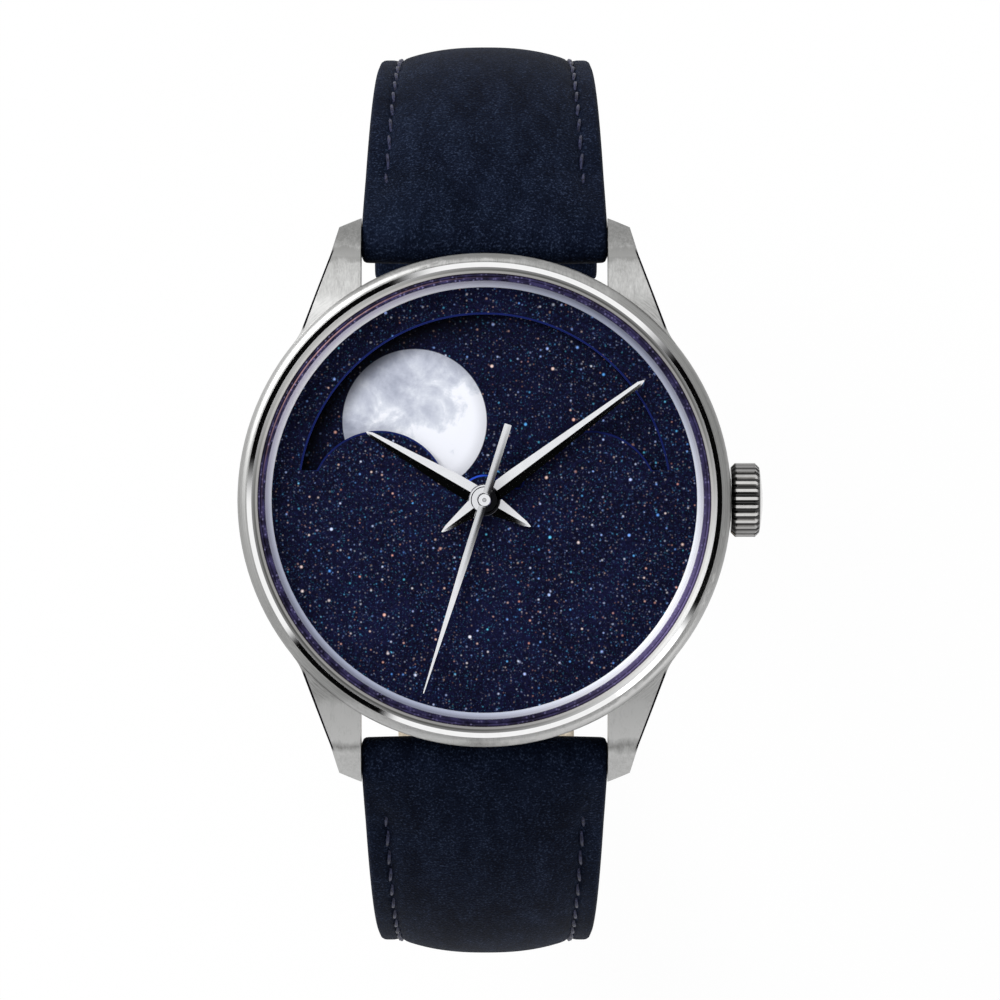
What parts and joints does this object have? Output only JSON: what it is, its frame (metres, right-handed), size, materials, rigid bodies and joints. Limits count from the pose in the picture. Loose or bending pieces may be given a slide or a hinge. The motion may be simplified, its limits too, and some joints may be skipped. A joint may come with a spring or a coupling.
{
  "type": "moon phase watch",
  "caption": "Round steel automatic dress watch with a sapphire crystal, a starry blue dial, a large moon phase disc in a wide window, a fluted crown and a padded navy leather strap",
  "frame": {"origin": "centre of the flat outer face of the case back", "axes": "+Z out through the dial, +Y towards 12 o'clock, +X towards the crown at 3 o'clock"},
  "size_m": [0.0426, 0.0782, 0.0944],
  "materials": {
    "case_steel": "satin brushed steel",
    "polished_steel": "mirror polished steel",
    "rhodium": "rhodium plated brass with fine brushing",
    "gilt_brass": "gilt brass",
    "blued_steel": "thin blued steel",
    "crystal": "clear polished sapphire",
    "aventurine": "dark blue aventurine glass with fine sparkles",
    "moon_print": "dark blue lacquer with a printed moon and stars",
    "seal_rubber": "black seal rubber",
    "strap_leather": "very dark navy grained leather, stitched in navy",
    "lining_leather": "smooth brown lining leather"
  },
  "bodies": {
    "case": {"case_middle": "case_steel", "case_back": "case_steel", "back_crystal": "crystal", "back_gasket": "seal_rubber", "bezel": "polished_steel", "crystal": "crystal", "crystal_gasket": "seal_rubber", "rehaut": "polished_steel", "dial": "aventurine", "main_plate": "rhodium", "movement_ring": "rhodium", "train_bridge": "rhodium", "balance_cock": "rhodium", "bridge_screws": "polished_steel", "rotor_bearing": "rhodium", "rotor_screw": "polished_steel", "click": "polished_steel", "moon_jumper": "polished_steel", "crown_tube": "case_steel", "spring_bar_12": "case_steel", "spring_bar_6": "case_steel"},
    "rotor": {"rotor": "rhodium"},
    "ratchet": {"ratchet_wheel": "polished_steel", "barrel_arbor": "polished_steel"},
    "barrel": {"barrel": "gilt_brass"},
    "centre": {"centre_wheel": "gilt_brass"},
    "third": {"third_wheel": "gilt_brass"},
    "seconds": {"seconds_arbor": "gilt_brass", "seconds_hand": "polished_steel"},
    "escape": {"escape_wheel": "gilt_brass"},
    "pallet": {"pallet_fork": "polished_steel"},
    "balance": {"balance_wheel": "gilt_brass", "hairspring": "blued_steel"},
    "minute": {"cannon_pinion": "polished_steel", "minute_hand": "polished_steel"},
    "minute_wheel": {"minute_wheel": "gilt_brass"},
    "hour": {"hour_wheel": "gilt_brass", "hour_hand": "polished_steel"},
    "day": {"day_wheel": "gilt_brass"},
    "moon": {"moon_disc": "moon_print", "moon_star_wheel": "gilt_brass"},
    "setting": {"setting_lever": "polished_steel"},
    "crown": {"crown": "polished_steel", "crown_gasket": "seal_rubber", "stem": "polished_steel", "winding_pinion": "polished_steel"},
    "strap_12": {"strap_12_upper": "strap_leather", "strap_12_lining": "lining_leather", "fixed_keeper": "strap_leather"},
    "loose_keeper": {"loose_keeper": "strap_leather"},
    "buckle": {"buckle_frame": "case_steel", "buckle_bar": "polished_steel"},
    "tongue": {"buckle_tongue": "polished_steel"},
    "strap_6": {"strap_6_upper": "strap_leather", "strap_6_lining": "lining_leather"}
  },
  "joints": [
    {"name": "seconds_turn", "type": "hinge", "parent": "case", "child": "seconds", "pos_m": [0, 0, 0.005], "axis": [0, 0, 1], "continuous": true},
    {"name": "third_turn", "type": "hinge", "parent": "case", "child": "third", "pos_m": [0.00432, -0.00157, 0.005], "axis": [0, 0, 1], "continuous": true},
    {"name": "centre_turn", "type": "hinge", "parent": "case", "child": "centre", "pos_m": [0, 0, 0.005], "axis": [0, 0, 1], "continuous": true},
    {"name": "barrel_turn", "type": "hinge", "parent": "case", "child": "barrel", "pos_m": [-0.00373, 0.00533, 0.005], "axis": [0, 0, 1], "continuous": true},
    {"name": "escape_turn", "type": "hinge", "parent": "case", "child": "escape", "pos_m": [-0.00069, -0.0039, 0.005], "axis": [0, 0, 1], "continuous": true},
    {"name": "minute_turn", "type": "hinge", "parent": "case", "child": "minute", "pos_m": [0, 0, 0.005], "axis": [0, 0, 1], "continuous": true},
    {"name": "minute_wheel_turn", "type": "hinge", "parent": "case", "child": "minute_wheel", "pos_m": [0.0015, -0.0026, 0.005], "axis": [0, 0, 1], "continuous": true},
    {"name": "hour_turn", "type": "hinge", "parent": "case", "child": "hour", "pos_m": [0, 0, 0.005], "axis": [0, 0, 1], "continuous": true},
    {"name": "day_turn", "type": "hinge", "parent": "case", "child": "day", "pos_m": [-0.00312, 0.0018, 0.005], "axis": [0, 0, 1], "continuous": true},
    {"name": "moon_turn", "type": "hinge", "parent": "case", "child": "moon", "pos_m": [0, 0, 0.005], "axis": [0, 0, 1], "continuous": true},
    {"name": "ratchet_turn", "type": "hinge", "parent": "case", "child": "ratchet", "pos_m": [-0.00373, 0.00533, 0.005], "axis": [0, 0, 1], "continuous": true},
    {"name": "rotor_turn", "type": "hinge", "parent": "case", "child": "rotor", "pos_m": [0, 0, 0.005], "axis": [0, 0, 1], "continuous": true},
    {"name": "pallet_rock", "type": "hinge", "parent": "case", "child": "pallet", "pos_m": [-0.00134, -0.0063, 0.005], "axis": [0, 0, 1], "range_deg": [-5, 5]},
    {"name": "balance_swing", "type": "hinge", "parent": "case", "child": "balance", "pos_m": [-0.0021, -0.0091, 0.005], "axis": [0, 0, 1], "range_deg": [-270, 270], "stiffness_Nm_per_rad": 0.00000012},
    {"name": "crown_pull", "type": "slide", "parent": "case", "child": "setting", "axis": [1, 0, 0], "range_m": [0, 0.001]},
    {"name": "crown_turn", "type": "hinge", "parent": "setting", "child": "crown", "pos_m": [0.02, 0, 0.00445], "axis": [1, 0, 0], "continuous": true},
    {"name": "strap_12_fold", "type": "hinge", "parent": "case", "child": "strap_12", "pos_m": [0, 0.021, 0.003], "axis": [1, 0, 0], "range_deg": [-15, 70]},
    {"name": "loose_keeper_slide", "type": "hinge", "parent": "strap_12", "child": "loose_keeper", "pos_m": [0, 0.01644, -0.03416], "axis": [-1, 0, 0], "range_deg": [-28, 8]},
    {"name": "buckle_fold", "type": "hinge", "parent": "strap_12", "child": "buckle", "pos_m": [0, 0.01648, -0.05526], "axis": [1, 0, 0], "range_deg": [-30, 20]},
    {"name": "tongue_fold", "type": "hinge", "parent": "buckle", "child": "tongue", "pos_m": [0, 0.01648, -0.05526], "axis": [1, 0, 0], "range_deg": [0, 85]},
    {"name": "strap_6_fold", "type": "hinge", "parent": "case", "child": "strap_6", "pos_m": [0, -0.021, 0.003], "axis": [-1, 0, 0], "range_deg": [-15, 70]}
  ],
  "couplings": [
    {"joint": "third_turn", "follows": "seconds_turn", "ratio": -0.13333},
    {"joint": "centre_turn", "follows": "seconds_turn", "ratio": 0.016667},
    {"joint": "barrel_turn", "follows": "seconds_turn", "ratio": -0.0027778},
    {"joint": "escape_turn", "follows": "seconds_turn", "ratio": -10},
    {"joint": "minute_wheel_turn", "follows": "minute_turn", "ratio": -0.33333},
    {"joint": "hour_turn", "follows": "minute_turn", "ratio": 0.083333},
    {"joint": "day_turn", "follows": "minute_turn", "ratio": -0.041667}
  ]
}
